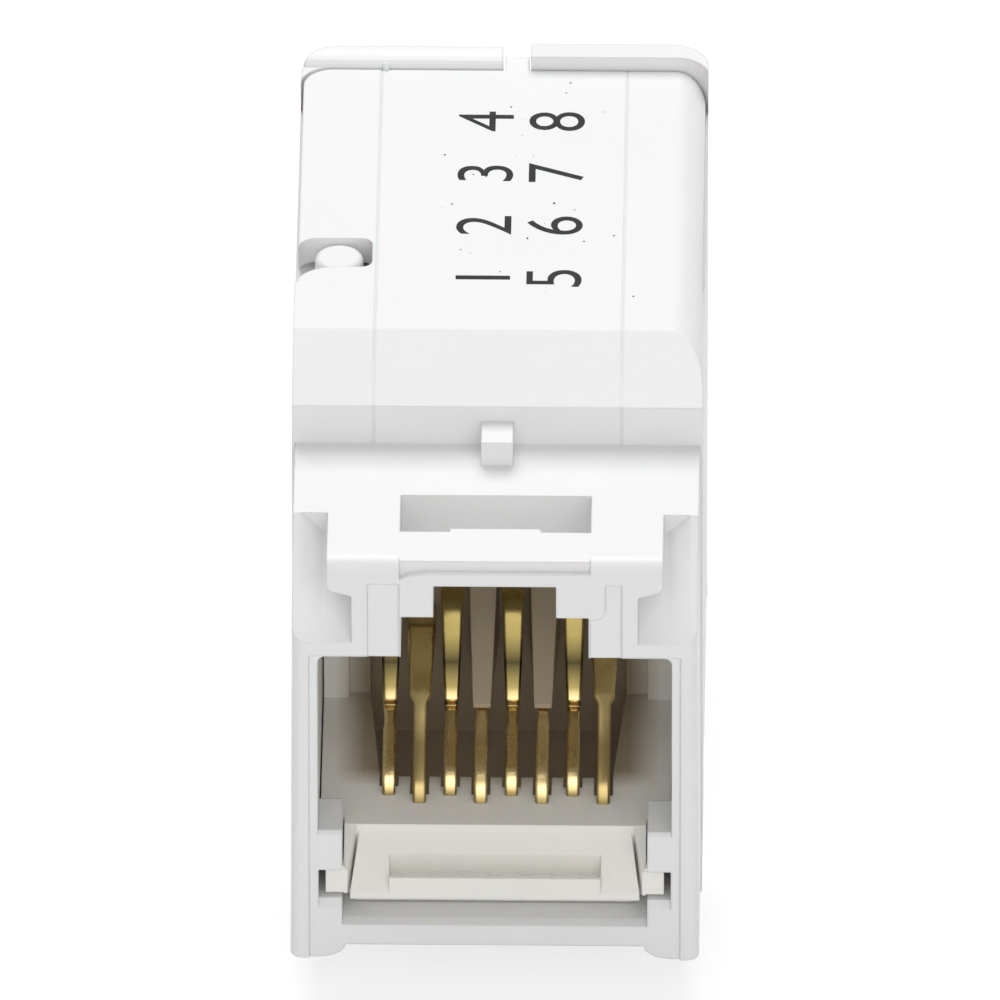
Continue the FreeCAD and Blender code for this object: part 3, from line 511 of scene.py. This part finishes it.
for number, spot in enumerate(gates["spots"]):
    gateMark(number, *spot)
print("ink specks and gate mark added")


# Floor, backdrop and light

studio = {"floorSize": 4.0, "floorColour": (0.86, 0.86, 0.86), "shadeColour": (0.42, 0.42, 0.42),
          "shadeLift": 0.68, "worldLight": 0.36,
          "keyPlace": (-0.04, 0.42, 0.74), "keySize": 0.6, "keyPower": 4.8,
          "frontPlace": (0.1, -0.83, 0.45), "frontSize": 1.0, "frontPower": 3.6,
          "lampTarget": (0.0, 0.0, 0.008)}


def makeFloor():
    half = studio["floorSize"] / 2
    work = bmesh.new()
    corners = ((-half, -half), (half, -half), (half, half), (-half, half))
    work.faces.new([work.verts.new((x, y, 0.0)) for x, y in corners])
    mesh = bpy.data.meshes.new("floor")
    work.to_mesh(mesh)
    work.free()
    floor = bpy.data.objects.new("floor", mesh)
    bpy.context.scene.collection.objects.link(floor)
    mesh.materials.append(floorMaterial())


def floorMaterial():
    material = bpy.data.materials.new("floorWhite")
    material.use_nodes = True
    tree = material.node_tree
    tree.nodes.clear()
    output = tree.nodes.new("ShaderNodeOutputMaterial")
    plain = tree.nodes.new("ShaderNodeBsdfDiffuse")
    plain.inputs["Color"].default_value = (*studio["floorColour"], 1.0)
    shaded = tree.nodes.new("ShaderNodeBsdfDiffuse")
    shaded.inputs["Color"].default_value = (*studio["shadeColour"], 1.0)
    lift = tree.nodes.new("ShaderNodeEmission")
    lift.inputs["Strength"].default_value = studio["shadeLift"]
    shown = tree.nodes.new("ShaderNodeAddShader")
    tree.links.new(shaded.outputs["BSDF"], shown.inputs[0])
    tree.links.new(lift.outputs["Emission"], shown.inputs[1])
    mix = tree.nodes.new("ShaderNodeMixShader")
    tree.links.new(lookRays(tree), mix.inputs["Fac"])
    tree.links.new(plain.outputs["BSDF"], mix.inputs[1])
    tree.links.new(shown.outputs["Shader"], mix.inputs[2])
    tree.links.new(mix.outputs["Shader"], output.inputs["Surface"])
    return material


def lookRays(tree):  # one for the camera, for mirror-like and for clear rays, zero for soft light
    path = tree.nodes.new("ShaderNodeLightPath")
    total = path.outputs["Is Camera Ray"]
    for name in ("Is Glossy Ray", "Is Transmission Ray"):
        larger = tree.nodes.new("ShaderNodeMath")
        larger.operation = "MAXIMUM"
        tree.links.new(total, larger.inputs[0])
        tree.links.new(path.outputs[name], larger.inputs[1])
        total = larger.outputs["Value"]
    return total


def makeLamp(name, place, size, power):
    data = bpy.data.lights.new(name, "AREA")
    data.shape = "SQUARE"
    data.size = size
    data.energy = power
    lamp = bpy.data.objects.new(name, data)
    bpy.context.scene.collection.objects.link(lamp)
    lamp.location = place
    lamp.visible_camera = False
    lamp.rotation_euler = (Vector(studio["lampTarget"]) - Vector(place)).to_track_quat("-Z", "Y").to_euler()


def makeWorld():
    world = bpy.data.worlds.new("world")
    bpy.context.scene.world = world
    world.use_nodes = True
    tree = world.node_tree
    tree.nodes.clear()
    output = tree.nodes.new("ShaderNodeOutputWorld")
    light = tree.nodes.new("ShaderNodeBackground")
    light.inputs["Color"].default_value = (1.0, 1.0, 1.0, 1.0)
    light.inputs["Strength"].default_value = studio["worldLight"]
    shown = tree.nodes.new("ShaderNodeBackground")
    shown.inputs["Color"].default_value = (1.0, 1.0, 1.0, 1.0)
    shown.inputs["Strength"].default_value = 1.0
    mix = tree.nodes.new("ShaderNodeMixShader")
    tree.links.new(lookRays(tree), mix.inputs["Fac"])
    tree.links.new(light.outputs["Background"], mix.inputs[1])
    tree.links.new(shown.outputs["Background"], mix.inputs[2])
    tree.links.new(mix.outputs["Shader"], output.inputs["Surface"])


makeCamera()
makeFloor()
makeWorld()
makeLamp("key", studio["keyPlace"], studio["keySize"], studio["keyPower"])
makeLamp("front", studio["frontPlace"], studio["frontSize"], studio["frontPower"])
bpy.context.scene.view_settings.view_transform = "Standard"
print("studio ready")
